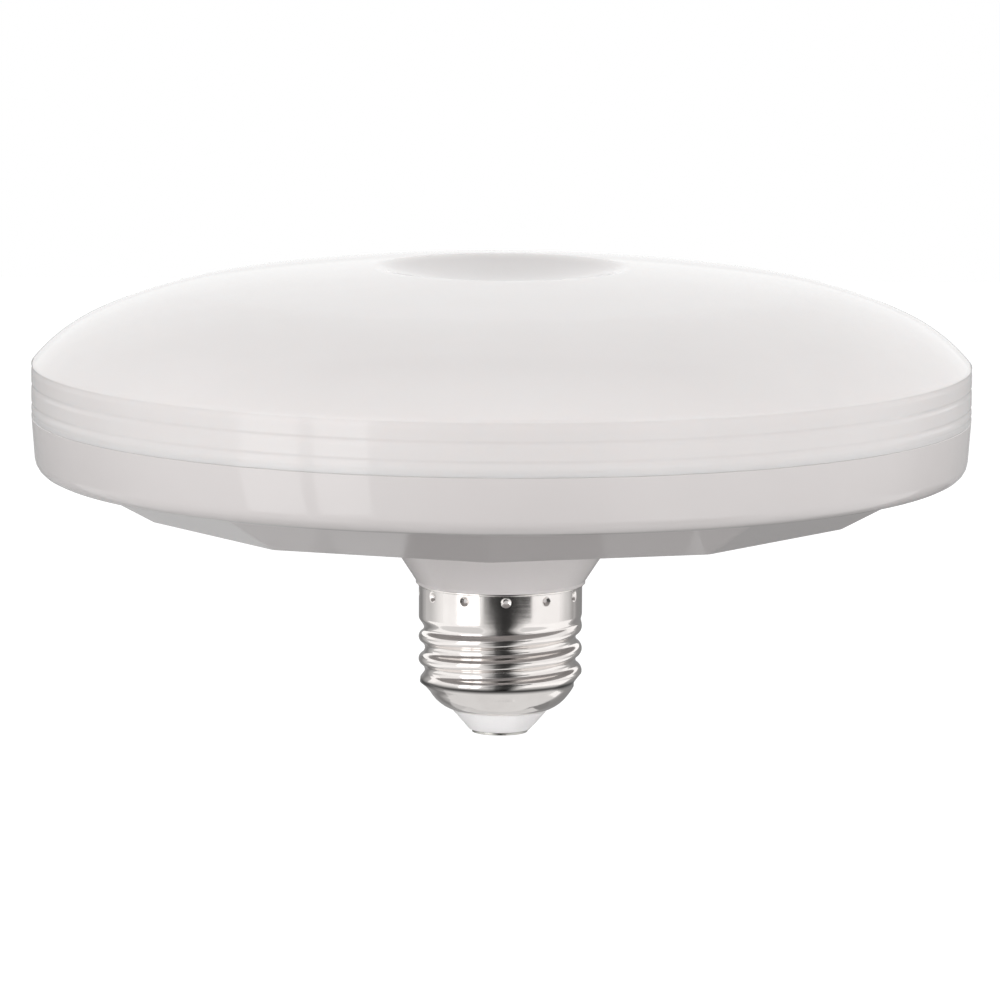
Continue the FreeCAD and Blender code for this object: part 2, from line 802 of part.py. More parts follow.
def all_parts():
    parts = {
        "diffuser": make_diffuser(),
        "housing": make_housing(),
        "cap_shell": make_cap_shell(),
        "cap_insulator": make_cap_insulator(),
        "end_contact": make_end_contact(),
        "heat_spreader": make_heat_spreader(),
        "led_board": make_led_board(),
        "led_connector": make_led_connector(),
        "driver_board": make_driver_board(),
        "bulk_capacitor": make_bulk_capacitor(),
        "output_capacitor": make_output_capacitor(),
        "film_capacitor": make_film_capacitor(),
        "inductor_core": make_inductor_core(),
        "inductor_winding": make_inductor_winding(),
        "bridge_rectifier": make_bridge_rectifier(),
        "control_chip": make_control_chip(),
        "fuse_resistor": make_fuse_resistor(),
        "live_lead": make_live_lead(),
        "neutral_lead": make_neutral_lead(),
        "led_lead_plus": make_led_lead(1),
        "led_lead_minus": make_led_lead(-1)}
    for i, turn_deg in enumerate(screw_places()):
        parts[f"board_screw_{i + 1}"] = make_screw(turn_deg)
    number = 0
    for ring_r, count in ((outer_ring_r, outer_ring_count), (inner_ring_r, inner_ring_count)):
        for i in range(count):
            number += 1
            parts[f"led_{number:02d}"] = make_led(ring_r, i * 360.0 / count)
    return parts


def main():
    os.makedirs("parts", exist_ok=True)
    for name, shape in all_parts().items():
        shape.exportStep(f"parts/{name}.step")
        print(name, len(shape.Solids), "solids", round(shape.Volume, 1), "mm3",
              "valid" if shape.isValid() else "NOT VALID")


main()
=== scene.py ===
import json
import math

import bpy
import numpy as np
from mathutils import Euler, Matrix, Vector


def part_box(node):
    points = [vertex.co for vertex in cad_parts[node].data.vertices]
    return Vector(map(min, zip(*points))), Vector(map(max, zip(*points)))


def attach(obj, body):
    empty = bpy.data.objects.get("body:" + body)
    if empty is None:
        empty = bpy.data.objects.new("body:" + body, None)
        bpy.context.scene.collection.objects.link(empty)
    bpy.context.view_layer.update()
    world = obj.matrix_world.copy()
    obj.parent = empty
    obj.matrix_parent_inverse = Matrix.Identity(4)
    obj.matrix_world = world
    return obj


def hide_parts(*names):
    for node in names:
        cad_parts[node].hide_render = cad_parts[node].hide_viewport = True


# Flat disc LED lamp with an E27 screw cap: looks, camera and light.
# Sizes are in millimetres, in the frame's own axes, and become metres where a mesh is made.

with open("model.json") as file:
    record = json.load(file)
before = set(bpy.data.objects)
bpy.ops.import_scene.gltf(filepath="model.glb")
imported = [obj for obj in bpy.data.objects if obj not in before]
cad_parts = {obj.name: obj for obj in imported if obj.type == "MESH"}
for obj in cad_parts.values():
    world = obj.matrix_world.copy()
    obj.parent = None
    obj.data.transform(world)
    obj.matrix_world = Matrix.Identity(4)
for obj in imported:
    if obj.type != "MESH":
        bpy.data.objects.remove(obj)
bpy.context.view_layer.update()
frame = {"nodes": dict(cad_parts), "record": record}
MM = 0.001


def cad_size(node):
    """Outer radius, lowest and highest height of a CAD node, in millimetres."""
    low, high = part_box(node)
    return high.x / MM, low.z / MM, high.z / MM


rim_r, diffuser_low_z = cad_size("diffuser")[:2]
shell_out_r, shell_low_z, shell_top_z = cad_size("cap_shell")
contact_r, ground_z, nail_top_z = cad_size("end_contact")
housing_top_z = cad_size("housing")[2]
insulator_top_z = cad_size("cap_insulator")[2]

# Diffuser
seam_z = housing_top_z
diffuser_t = 1.8
band_h = 8.39
grooves = ((8.0, 0.06), (5.2, 0.09), (2.2, 0.09), (0.75, 0.05))
groove_over = 0.45
groove_under = 0.85
band_step = 0.1
band_foot_h = 0.12
shoulder_r = 25.8
haunch_r = 67.0
crown_r = 335.0
shoulder_w = 9.0
haunch_w = 19.0
haunch_edge_r = rim_r - shoulder_w
crown_edge_r = haunch_edge_r - haunch_w
dimple_r = 20.0
dimple_depth = 3.0
dimple_roll_r = 5.0
rim_lip_t = 1.4
tongue_t = 1.4
tongue_fit = 0.15
rim_lip_r = rim_r - rim_lip_t
tongue_r = rim_lip_r - tongue_fit

# Housing
rim_h = 9.1
rim_draft = 0.7
rim_corner_r = 2.7
wall = 2.0
rim_wall = 2.4
rim_inner_r = rim_r - rim_wall
ledge_w = 6.0
facet_count = 10
facet_turn_deg = -1.9
facet_w = 11.8
facet_h = 6.4
facet_top_r = rim_r - ledge_w
facet_low_r = facet_top_r - facet_w
facet_ridge_r = 2.5
neck_top_r = 20.9
neck_low_r = 13.6
neck_h = 11.2
corner_z = seam_z - rim_h
floor_z = corner_z - facet_h
neck_low_z = floor_z - neck_h
board_drop = 3.0
board_z = seam_z - board_drop
pan_z = floor_z + wall

# E27 shell
sheet_t = 0.3
flange_w = 0.2
flange_h = 0.35
crest_r = shell_out_r - flange_w
thread_depth = 1.0
thread_pitch = 3.629
root_r = crest_r - thread_depth
first_crest_drop = 6.97
crest_z = shell_top_z - first_crest_drop
bowl_r = 6.2
mouth_r = 7.75
skirt_h = 4.8
skirt_low_z = shell_top_z - skirt_h
skirt_blend_h = 3.1
thread_fade_low = 2.6
thread_fade_h = 1.9
crease_h = 4.7
crease_half = 0.4
crease_depth = 0.35
crimp_count = 12
crimp_drop = 1.4
crimp_r = 0.8
crimp_depth = 0.5
crimp_lip_share = 1.12
crimp_turn_deg = 4.0
bowl_x = root_r - bowl_r
bowl_end_angle = math.acos((mouth_r - bowl_x) / bowl_r)
bowl_z = shell_low_z + bowl_r * math.sin(bowl_end_angle)
post_fit = 0.1
post_wall = 1.3
post_r = root_r - sheet_t - post_fit
post_skirt_r = crest_r - sheet_t - post_fit
post_end_z = bowl_z + post_fit
bore_r = post_r - post_wall

# End contact and insulator
contact_t = 0.5
contact_edge_r = 0.15
nail_r = 1.2
insulator_tip_r = 4.9
insulator_rim_h = 1.0
insulator_fit = 0.05


# Profiles: arrays of (radius, height)
def arc(centre, radius, from_deg, to_deg, count):
    """Centre plus radius times the cosine and sine of evenly spaced angles."""
    a = np.radians(np.linspace(from_deg, to_deg, count))
    return np.column_stack([centre[0] + radius * np.cos(a), centre[1] + radius * np.sin(a)])


def rounded(corners, radii, steps=4):
    """Rows through corners, each turned by an arc that touches both sides.

    corners is (row, column, 2). An arc's ends lie radius / tan(half the corner's angle) from it,
    and its points are the two end spokes blended by the sines of their shares of the arc.
    """
    rows = [corners[0]]
    for i in range(1, len(corners) - 1):
        here = corners[i]
        if radii[i] == 0:
            rows.append(here)
            continue
        back = corners[i - 1] - here
        on = corners[i + 1] - here
        back = back / np.linalg.norm(back, axis=-1, keepdims=True)
        on = on / np.linalg.norm(on, axis=-1, keepdims=True)
        half = np.arccos(np.clip((back * on).sum(-1, keepdims=True), -1, 1)) / 2
        reach = radii[i] / np.tan(half)
        middle = back + on
        middle = middle / np.linalg.norm(middle, axis=-1, keepdims=True)
        centre = here + middle * radii[i] / np.sin(half)
        first = here + back * reach - centre
        last = here + on * reach - centre
        sweep = math.pi - 2 * half
        for share in np.linspace(0, 1, steps + 1):
            rows.append(centre + (np.sin((1 - share) * sweep) * first
                                  + np.sin(share * sweep) * last) / np.sin(sweep))
    rows.append(corners[-1])
    return np.array(rows)


def spread(points, columns):
    """The same (radius, height) rows in every column."""
    return np.repeat(np.asarray(points, float)[:, None, :], columns, axis=1)


def rounded_profile(points, radii, steps=4):
    return rounded(spread(points, 1), radii, steps)[:, 0, :]


# Meshes
def grid_faces(rows, columns, closed_rows):
    """Quads between neighbouring rows and columns; columns wrap round the axis, rows if asked."""
    i = np.arange(rows if closed_rows else rows - 1)[:, None]
    j = np.arange(columns)[None, :]
    below, above = i * columns, ((i + 1) % rows) * columns
    across = (j + 1) % columns
    quads = np.stack([below + j, below + across, above + across, above + j], axis=-1)
    return quads.reshape(-1, 4)


def make_piece(name, points, faces, sharp_deg):
    """Mesh object at the origin from points in millimetres, smooth but for edges over sharp_deg."""
    mesh = bpy.data.meshes.new(name)
    mesh.from_pydata((points * MM).tolist(), [], [list(f) for f in faces])
    mesh.validate()
    mesh.polygons.foreach_set("use_smooth", np.ones(len(mesh.polygons), bool))
    mesh.set_sharp_from_angle(angle=math.radians(sharp_deg))
    mesh.update()
    piece = bpy.data.objects.new(name, mesh)
    bpy.context.scene.collection.objects.link(piece)
    return piece


def ring_points(rows, turns):
    """(radius, height) rows by columns, turned to x, y, z by each column's angle."""
    r, z = rows[..., 0], rows[..., 1]
    return np.stack([r * np.cos(turns), r * np.sin(turns), z], axis=-1).reshape(-1, 3)


def turned_ring(name, rows, turns, sharp_deg=40):
    """Closed ring: the section's last row joins its first. Rows run so that faces point out."""
    rows_count, columns = rows.shape[:2]
    return make_piece(name, ring_points(rows, turns), grid_faces(rows_count, columns, True),
                      sharp_deg)


def turned_solid(name, profile, columns, sharp_deg=40):
    """Closed solid turned from a profile whose two ends lie on the axis, each closed by a fan."""
    turns = 2 * math.pi * np.arange(columns) / columns
    rows = spread(profile[1:-1], columns)
    points = ring_points(rows, turns)
    count = len(profile) - 2
    quads = grid_faces(count, columns, False).tolist()
    first, last = len(points), len(points) + 1
    points = np.vstack([points, [0, 0, profile[0][1]], [0, 0, profile[-1][1]]])
    j = np.arange(columns)
    across = (j + 1) % columns
    top = (count - 1) * columns
    fans = np.vstack([np.column_stack([across, j, np.full(columns, first)]),
                      np.column_stack([top + j, top + across, np.full(columns, last)])])
    return make_piece(name, points, quads + fans.tolist(), sharp_deg)


# Diffuser
def dome_run(inset, end_r):
    """Tangent arcs from the dimple's middle over its rolled edge, the crown and the haunch.

    Each arc's centre lies on the line through the joint with the arc before it, so that the
    arcs share a tangent there; inset makes every radius smaller on the outside of the bend.
    """
    crown_a = math.asin(crown_edge_r / crown_r)
    haunch_x = crown_edge_r - haunch_r * math.sin(crown_a)
    haunch_a = math.asin((haunch_edge_r - haunch_x) / haunch_r)
    shoulder_x = haunch_edge_r - shoulder_r * math.sin(haunch_a)
    shoulder_a = math.asin((rim_r - shoulder_x) / shoulder_r)
    shoulder_z = seam_z + band_h - shoulder_r * math.cos(shoulder_a)
    haunch_z = shoulder_z + (shoulder_r - haunch_r) * math.cos(haunch_a)
    crown_z = haunch_z + (haunch_r - crown_r) * math.cos(crown_a)
    edge_z = crown_z + math.sqrt(crown_r ** 2 - dimple_r ** 2)
    dish_r = (dimple_r ** 2 + dimple_depth ** 2) / (2 * dimple_depth)
    dish_z = edge_z - dimple_depth + dish_r
    far = crown_r - dimple_roll_r
    near = dish_r + dimple_roll_r
    roll_z = (far ** 2 - near ** 2 + dish_z ** 2 - crown_z ** 2) / (2 * (dish_z - crown_z))
    roll_x = math.sqrt(near ** 2 - (roll_z - dish_z) ** 2)
    dish_a = math.degrees(math.atan2(roll_z - dish_z, roll_x))
    roll_a = math.degrees(math.atan2(roll_z - crown_z, roll_x))
    crown_end = 90 - math.degrees(crown_a)
    haunch_end = 90 - math.degrees(haunch_a)
    shoulder_end = math.degrees(math.acos((end_r - shoulder_x) / (shoulder_r - inset)))
    return np.vstack([
        arc((0, dish_z), dish_r + inset, -90, dish_a, 30)[:-1],
        arc((roll_x, roll_z), dimple_roll_r - inset, dish_a + 180, roll_a, 14)[:-1],
        arc((0, crown_z), crown_r - inset, roll_a, crown_end, 16)[:-1],
        arc((haunch_x, haunch_z), haunch_r - inset, crown_end, haunch_end, 16)[:-1],
        arc((shoulder_x, shoulder_z), shoulder_r - inset, haunch_end, shoulder_end, 16)])


def band_run():
    """The ribbed band from its top down: rim radius less each groove's squared-cosine dip.

    Each groove is a height above the seam and a depth. Its dip is short above that height
    and longer below it, where its slope catches the light.
    """
    down = np.arange(band_h - band_step, band_foot_h, -band_step)
    reach = np.full(len(down), float(rim_r))
    for height, depth in grooves:
        off = down - height
        share = np.clip(np.where(off > 0, off / groove_over, -off / groove_under), 0, 1)
        reach -= depth * np.cos(share * math.pi / 2) ** 2
    return np.column_stack([reach, seam_z + down])


def make_diffuser():
    """Opal cover turned from its section: dome, grooved band, tongue and the inner side."""
    columns = 288
    outer = dome_run(0, rim_r)
    inside_r = tongue_r - tongue_t
    inner = dome_run(diffuser_t, inside_r)
    foot = rounded_profile(
        [(rim_r, seam_z + band_foot_h), (rim_r, seam_z), (tongue_r, seam_z),
         (tongue_r, diffuser_low_z), (inside_r, diffuser_low_z), tuple(inner[-1])],
        [0, 0.08, 0.05, 0.2, 0.2, 0], 2)
    profile = np.vstack([outer, band_run(), foot, inner[::-1][1:]])
    piece = turned_solid("diffuser_cover", profile[::-1], columns, 50)
    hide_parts("diffuser")
    return piece


# Housing
def facet_turns():
    """Column angles: each facet's share of the turn, with close columns beside its ridges."""
    share = 360 / facet_count
    close_deg = 1.2
    open_deg = 2.5
    half = np.concatenate([np.linspace(0, close_deg, 7), np.linspace(open_deg, share / 2, 8)])
    sector = np.concatenate([half, share - half[-2:0:-1]])
    start = facet_turn_deg - 90
    degrees = start + share * np.arange(facet_count)[:, None] + sector[None, :]
    return np.radians(degrees.ravel())


def polygon_reach(turns, corner_r, ridge_r):
    """Radius of a regular polygon with rounded corners, by angle.

    On a side it is the apothem over the cosine of the angle from the side's middle. Near a
    corner it is the far crossing with a circle that touches both sides.
    """
    share = 2 * math.pi / facet_count
    from_corner = (turns - math.radians(facet_turn_deg - 90) + share / 2) % share - share / 2
    apothem = corner_r * math.cos(share / 2)
    flat = apothem / np.cos(share / 2 - np.abs(from_corner))
    centre = (apothem - ridge_r) / math.cos(share / 2)
    touch = share / 2 - math.atan(centre * math.sin(share / 2) / apothem)
    inside = np.maximum(ridge_r ** 2 - (centre * np.sin(from_corner)) ** 2, 0)
    curved = centre * np.cos(from_corner) + np.sqrt(inside)
    return np.where(np.abs(from_corner) < touch, curved, flat)


def ring(radius, z, columns):
    """One row: a radius, single or by column, at one height."""
    return np.column_stack([np.broadcast_to(radius, columns), np.full(columns, float(z))])


def housing_outside(turns):
    """Rows down the outside: rim, its rounded corner, ledge, facets, floor, neck, collar, post.

    Each row is a radius, a height and the radius that rounds the corner there.
    """
    n = len(turns)
    floor_edge_share = 0.94
    floor_ring_w = 3
    wall_r = rim_r - rim_draft
    top = polygon_reach(turns, facet_top_r, facet_ridge_r)
    low = polygon_reach(turns, facet_low_r, facet_ridge_r)
    rows = [
        (rim_lip_r, seam_z, 0), (rim_r, seam_z, 0.12), (wall_r, corner_z, rim_corner_r),
        (top, corner_z, 0.5), (low, floor_z, 0.7),
        (low * floor_edge_share, floor_z, 0), (neck_top_r + floor_ring_w, floor_z, 0),
        (neck_top_r, floor_z, 0.6), (neck_low_r, neck_low_z, 0.15),
        (neck_low_r, shell_top_z, 0.05), (post_skirt_r, shell_top_z, 0),
        (post_skirt_r, skirt_low_z + post_fit, 0), (post_r, skirt_low_z + post_fit, 0),
        (post_r, post_end_z, 0)]
    corners = np.array([ring(r, z, n) for r, z, bend in rows])
    return rounded(corners, [bend for r, z, bend in rows], 5)


def housing_inside(turns):
    """Rows up the inside: bore, neck, pan floor, facets, rim wall and the rebate for the cover."""
    n = len(turns)
    slope = (neck_top_r - neck_low_r) / neck_h
    neck_wall = wall * math.sqrt(1 + slope ** 2)
    bore_z = neck_low_z + (bore_r + neck_wall - neck_low_r) / slope
    pan_r = neck_low_r + (pan_z - neck_low_z) * slope - neck_wall
    apothem = math.cos(math.pi / facet_count)
    rise = (facet_top_r - facet_low_r) * apothem / facet_h
    inward = wall * math.sqrt(1 + rise ** 2)
    ledge_z = corner_z + wall
    low_r = facet_low_r + (wall * rise - inward) / apothem
    top_r = low_r + (ledge_z - pan_z) * rise / apothem
    rows = [
        (bore_r, post_end_z), (bore_r, bore_z), (pan_r, pan_z),
        (polygon_reach(turns, low_r, facet_ridge_r), pan_z),
        (polygon_reach(turns, top_r, facet_ridge_r), ledge_z),
        (rim_inner_r, ledge_z), (rim_inner_r, board_z), (rim_lip_r, board_z)]
    return np.array([ring(r, z, n) for r, z in rows])


def make_housing():
    """Moulded pan: rows run down its outside and back up its inside, one ring of quads."""
    turns = facet_turns()
    rows = np.vstack([housing_outside(turns), housing_inside(turns)])
    piece = turned_ring("housing_shell", rows[::-1], turns, 40)
    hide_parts("housing")
    return piece


# E27 shell
def smooth(value, low, high):
    """Smooth step: 3 s squared less 2 s cubed, of the share s of the way from low to high."""
    s = np.clip((value - low) / (high - low), 0, 1)
    return s * s * (3 - 2 * s)


def knuckle(shift):
    """Rolled thread section, 1 on a crest and 0 in a root: two tangent arcs of one radius."""
    quarter = thread_pitch / 4
    radius = (quarter ** 2 + thread_depth ** 2 / 4) / thread_depth
    off = np.abs((shift + 0.5) % 1.0 - 0.5) * thread_pitch
    near = np.minimum(off, quarter)
    fall = radius - np.sqrt(radius ** 2 - near ** 2)
    far = np.minimum(np.maximum(2 * quarter - off, 0), quarter)
    rise = radius - np.sqrt(radius ** 2 - far ** 2)
    return np.where(off <= quarter, 1 - fall / thread_depth, rise / thread_depth)


def thread_lift(z, turns):
    """How far the thread stands out from its root: a helix that fades into bowl and skirt."""
    wave = knuckle((z - crest_z) / thread_pitch - turns / (2 * math.pi))
    into_skirt = smooth(z, skirt_low_z - skirt_blend_h, skirt_low_z)
    fade_z = shell_low_z + thread_fade_low
    from_bowl = smooth(z, fade_z, fade_z + thread_fade_h)
    return thread_depth * (wave + (1 - wave) * into_skirt) * from_bowl


def crimp_dent(z, turns):
    """Punch marks: a smooth-step dip round each centre, ending a little outside its radius."""
    share = 2 * math.pi / crimp_count
    first = math.radians(crimp_turn_deg - 90)
    across = ((turns - first + share / 2) % share - share / 2) * crest_r
    away = np.hypot(across, z - (shell_top_z - crimp_drop)) / crimp_r
    return crimp_depth * smooth(crimp_lip_share - away, 0, 1.0)


def crease(z):
    """Rolled-in line between thread and bowl: a squared-cosine dip at one height."""
    off = np.clip(np.abs(z - shell_low_z - crease_h) / crease_half, 0, 1)
    return crease_depth * np.cos(off * math.pi / 2) ** 2


def shell_base():
    """Root radius and height of the wall's rows: bowl, thread and skirt, close at the crimps."""
    bowl_rows = 10
    thread_rows = 70
    crimp_reach = 1
    a = bowl_end_angle * (1 - np.arange(bowl_rows) / bowl_rows)
    bowl = np.column_stack([bowl_x + bowl_r * np.cos(a), bowl_z - bowl_r * np.sin(a)])
    crimp_z = shell_top_z - crimp_drop
    heights = np.concatenate([
        np.linspace(bowl_z, skirt_low_z, thread_rows)[:-1],
        np.linspace(skirt_low_z, crimp_z - crimp_reach, 5)[:-1],
        np.linspace(crimp_z - crimp_reach, crimp_z + crimp_reach, 17)])
    return np.vstack([bowl, np.column_stack([np.full(len(heights), root_r), heights])])


def shell_rows(base, turns, inset):
    """The rolled wall, moved in by a thickness at right angles to each column's section."""
    z = np.broadcast_to(base[:, 1:2], (len(base), len(turns)))
    r = base[:, 0:1] + thread_lift(z, turns[None, :]) - crimp_dent(z, turns[None, :]) - crease(z)
    slope_r, slope_z = np.gradient(r, axis=0), np.gradient(z, axis=0)
    run = np.hypot(slope_r, slope_z)
    return np.stack([r - inset * slope_z / run, z + inset * slope_r / run], axis=-1)


def make_shell():
    """Rolled sheet: rows up the outside, over the top flange, and down the inside."""
    columns = 480
    turns = 2 * math.pi * np.arange(columns) / columns
    base = shell_base()
    outer = shell_rows(base, turns, 0)
    inner = shell_rows(base[::2], turns, sheet_t)
    flange_r = crest_r + flange_w
    flange_z = shell_top_z - flange_h
    below_flange = 0.1
    corners = [
        (crest_r, flange_z - below_flange), (crest_r, flange_z), (flange_r, flange_z),
        (flange_r, shell_top_z), (crest_r - sheet_t, shell_top_z),
        (crest_r - sheet_t, flange_z)]
    brim = rounded(np.array([ring(r, z, columns) for r, z in corners]),
                   [0, 0.06, 0.1, 0.12, 0, 0], 3)
    rows = np.vstack([outer, brim, inner[::-1]])
    piece = turned_ring("screw_shell", rows, turns, 60)
    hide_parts("cap_shell")
    return piece


# Insulator and end contact
def make_insulator():
    """White moulded cone that closes the shell's mouth, turned from its section."""
    inner_arc = bowl_r - sheet_t - insulator_fit
    low = -math.degrees(bowl_end_angle)
    high = -math.degrees(math.asin((bowl_z - insulator_top_z + insulator_rim_h) / inner_arc))
    seat = arc((bowl_x, bowl_z), inner_arc, low, high, 12)
    foot_z = seat[0][1]
    neck_r = seat[0][0] - insulator_fit
    cone_z = shell_low_z - insulator_fit
    bore = nail_r + insulator_fit
    start = rounded_profile(
        [(bore, contact_t), (insulator_tip_r, contact_t), (mouth_r, cone_z), (neck_r, cone_z),
         (neck_r, foot_z)], [0, 0.25, 0.05, 0, 0], 4)
    rows = np.vstack([start, seat, [(seat[-1][0], insulator_top_z), (bore, insulator_top_z)]])
    columns = 144
    turns = 2 * math.pi * np.arange(columns) / columns
    piece = turned_ring("cap_cone", spread(rows, columns), turns, 40)
    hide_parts("cap_insulator")
    return piece


def make_contact():
    """Flat contact disc with a rounded edge and its nail, turned about the axis."""
    profile = rounded_profile(
        [(0, ground_z), (contact_r, ground_z), (contact_r, contact_t), (nail_r, contact_t),
         (nail_r, nail_top_z), (0, nail_top_z)],
        [0, contact_edge_r, contact_edge_r, 0, 0.1, 0], 4)
    piece = turned_solid("contact_disc", profile, 96, 40)
    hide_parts("end_contact")
    return piece


# Materials
def colour(r, g, b):
    """Linear colour of an 8-bit screen colour."""
    c = np.array([r, g, b]) / 255
    linear = np.where(c <= 0.04045, c / 12.92, ((c + 0.055) / 1.055) ** 2.4)
    return (*linear.tolist(), 1.0)


def new_material(name, base, roughness, **sockets):
    material = bpy.data.materials.new(name)
    material.use_nodes = True
    shader = material.node_tree.nodes["Principled BSDF"]
    shader.inputs["Base Color"].default_value = base
    shader.inputs["Roughness"].default_value = roughness
    for socket, value in sockets.items():
        shader.inputs[socket.replace("_", " ")].default_value = value
    return material, shader


def node(material, kind, **values):
    made = material.node_tree.nodes.new(kind)
    for key, value in values.items():
        if key in made.inputs:
            made.inputs[key].default_value = value
        else:
            setattr(made, key, value)
    return made


def link(material, out, into):
    material.node_tree.links.new(out, into)


def object_noise(material, scale, detail=3.0, stretch=(1, 1, 1)):
    """Noise over Object coordinates, in metres, stretched per axis."""
    place = node(material, "ShaderNodeTexCoord")
    mapping = node(material, "ShaderNodeMapping", Scale=stretch)
    noise = node(material, "ShaderNodeTexNoise", Scale=scale, Detail=detail)
    link(material, place.outputs["Object"], mapping.inputs["Vector"])
    link(material, mapping.outputs["Vector"], noise.inputs["Vector"])
    return noise.outputs["Fac"]


def vary_colour(material, shader, value, low, high):
    """Base colour that drifts from low to high with a value around a half."""
    ramp = node(material, "ShaderNodeValToRGB")
    ramp.color_ramp.elements[0].position = 0.3
    ramp.color_ramp.elements[1].position = 0.7
    ramp.color_ramp.elements[0].color = low
    ramp.color_ramp.elements[1].color = high
    link(material, value, ramp.inputs["Fac"])
    link(material, ramp.outputs["Color"], shader.inputs["Base Color"])


def vary_roughness(material, shader, value, low, high):
    spreader = node(material, "ShaderNodeMapRange")
    spreader.inputs["From Min"].default_value = 0.3
    spreader.inputs["From Max"].default_value = 0.7
    spreader.inputs["To Min"].default_value = low
    spreader.inputs["To Max"].default_value = high
    link(material, value, spreader.inputs["Value"])
    link(material, spreader.outputs["Result"], shader.inputs["Roughness"])


def tone_below(material, shader, value, low_mm, high_mm, tone):
    """Multiplies the base colour by a grey that runs smoothly from a tone up to 1."""
    source = shader.inputs["Base Color"].links[0].from_socket
    fade = node(material, "ShaderNodeMapRange", interpolation_type="SMOOTHSTEP")
    fade.inputs["From Min"].default_value = low_mm * MM
    fade.inputs["From Max"].default_value = high_mm * MM
    fade.inputs["To Min"].default_value = tone
    fade.inputs["To Max"].default_value = 1.0
    scaled = node(material, "ShaderNodeVectorMath", operation="SCALE")
    link(material, value, fade.inputs["Value"])
    link(material, source, scaled.inputs[0])
    link(material, fade.outputs["Result"], scaled.inputs["Scale"])
    link(material, scaled.outputs["Vector"], shader.inputs["Base Color"])


def tone_inside(material, shader, radius_mm, soft_mm, tone):
    """Tones the base colour within a radius of the lamp's axis."""
    place = node(material, "ShaderNodeTexCoord")
    flat = node(material, "ShaderNodeVectorMath", operation="MULTIPLY")
    flat.inputs[1].default_value = (1, 1, 0)
    reach = node(material, "ShaderNodeVectorMath", operation="LENGTH")
    link(material, place.outputs["Object"], flat.inputs[0])
    link(material, flat.outputs["Vector"], reach.inputs[0])
    tone_below(material, shader, reach.outputs["Value"], radius_mm - soft_mm, radius_mm, tone)


def tone_band(material, shader, middle_mm, half_mm, tone):
    """Tones the base colour in a band of height, softly to both sides."""
    place = node(material, "ShaderNodeTexCoord")
    split = node(material, "ShaderNodeSeparateXYZ")
    off = node(material, "ShaderNodeMath", operation="SUBTRACT")
    off.inputs[1].default_value = middle_mm * MM
    away = node(material, "ShaderNodeMath", operation="ABSOLUTE")
    link(material, place.outputs["Object"], split.inputs[0])
    link(material, split.outputs["Z"], off.inputs[0])
    link(material, off.outputs[0], away.inputs[0])
    tone_below(material, shader, away.outputs[0], 0, half_mm, tone)


def bump(material, shader, value, depth_mm):
    made = node(material, "ShaderNodeBump", Strength=1.0, Distance=depth_mm * MM)
    link(material, value, made.inputs["Height"])
    link(material, made.outputs["Normal"], shader.inputs["Normal"])


def moulded_plastic(name, low, high, roughness, ripple_mm=0.004, **sockets):
    """Moulded plastic: faint flow tone, slightly uneven gloss and a very shallow ripple."""
    material, shader = new_material(name, high, roughness, **sockets)
    flow = object_noise(material, 28, 4)
    vary_colour(material, shader, flow, low, high)
    haze = object_noise(material, 160, 2)
    vary_roughness(material, shader, haze, roughness * 0.9, roughness * 1.15)
    bump(material, shader, object_noise(material, 90, 1), ripple_mm)
    return material


def rolled_metal(name, low, high, rough_low, rough_high, line_scale, line_mm, stretch):
    """Plated or drawn metal: tone drift, cloudy polish and fine lines along its rolling."""
    material, shader = new_material(name, high, rough_low, Metallic=1.0)
    vary_colour(material, shader, object_noise(material, 140, 4), low, high)
    vary_roughness(material, shader, object_noise(material, 320, 3), rough_low, rough_high)
    bump(material, shader, object_noise(material, line_scale, 4, stretch), line_mm)
    return material


def opal():
    """Opal cover: light soaks into it, and its dimple carries painted shade that makes it a shade
    greyer.
    """
    material = moulded_plastic(
        "opal_plastic", colour(232, 228, 227), colour(236, 232, 231), 0.06, 0.001,
        Subsurface_Weight=0.6, Subsurface_Radius=(1.0, 0.9, 0.85), Subsurface_Scale=0.002)
    shader = material.node_tree.nodes["Principled BSDF"]
    # Painted shade: the base colour is darkened within the dimple's radius, where the recess lies
    # in shade.
    tone_inside(material, shader, radius_mm=dimple_r, soft_mm=2.8, tone=0.88)
    return material


def nickel():
    """Plated sheet, with painted shade that darkens it along the rolled-in line between thread and
    bowl.
    """
    material = rolled_metal(
        "cap_nickel", colour(230, 225, 222), colour(240, 236, 233), 0.08, 0.15, 260, 0.003,
        (1, 1, 9))
    shader = material.node_tree.nodes["Principled BSDF"]
    # Painted shade: a thin band round the crease is darkened almost to black.
    tone_band(material, shader, shell_low_z + crease_h, half_mm=0.75, tone=0.08)
    return material


